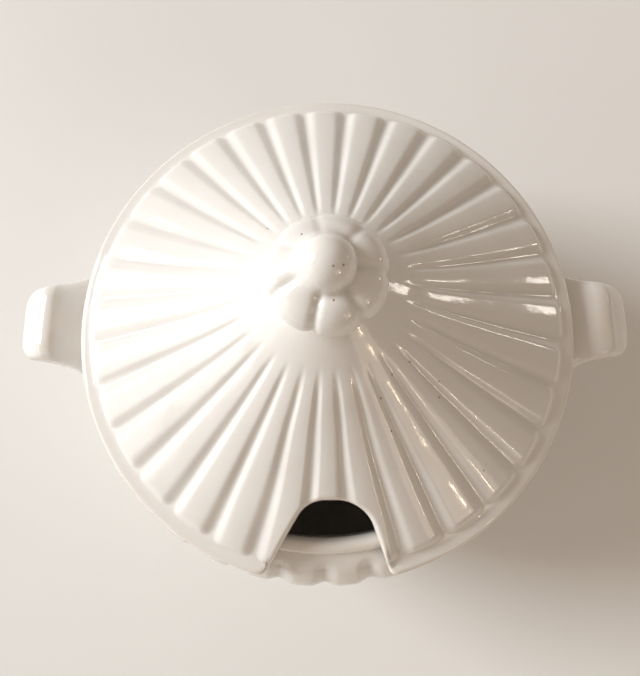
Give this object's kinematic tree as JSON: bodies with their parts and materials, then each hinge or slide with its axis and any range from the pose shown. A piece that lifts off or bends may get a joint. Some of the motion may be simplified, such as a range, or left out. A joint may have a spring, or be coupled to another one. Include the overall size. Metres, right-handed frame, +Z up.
{
  "type": "soup tureen",
  "caption": "Round fluted ceramic tureen with two lug handles and a domed lid that has a ladle notch and a lobed knob.",
  "frame": {"origin": "on the table under the middle of the foot ring", "axes": "+Z up, +X along the handles to the right one, -Y towards the ladle notch"},
  "size_m": [0.2984, 0.2434, 0.1998],
  "materials": {
    "bowl_glaze": "glossy white glaze inside and out, bare foot ring",
    "handle_glaze": "glossy white glaze",
    "lid_glaze": "glossy white glaze, thicker in the grooves",
    "knob_glaze": "glossy white glaze with a few pinholes"
  },
  "bodies": {
    "bowl": {"bowl": "bowl_glaze", "handle_left": "handle_glaze", "handle_right": "handle_glaze"},
    "lid": {"lid": "lid_glaze", "knob": "knob_glaze"}
  },
  "joints": [
    {"name": "lid_lift", "type": "slide", "parent": "bowl", "child": "lid", "axis": [0, 0, 1], "range_m": [0, 0.15]}
  ]
}
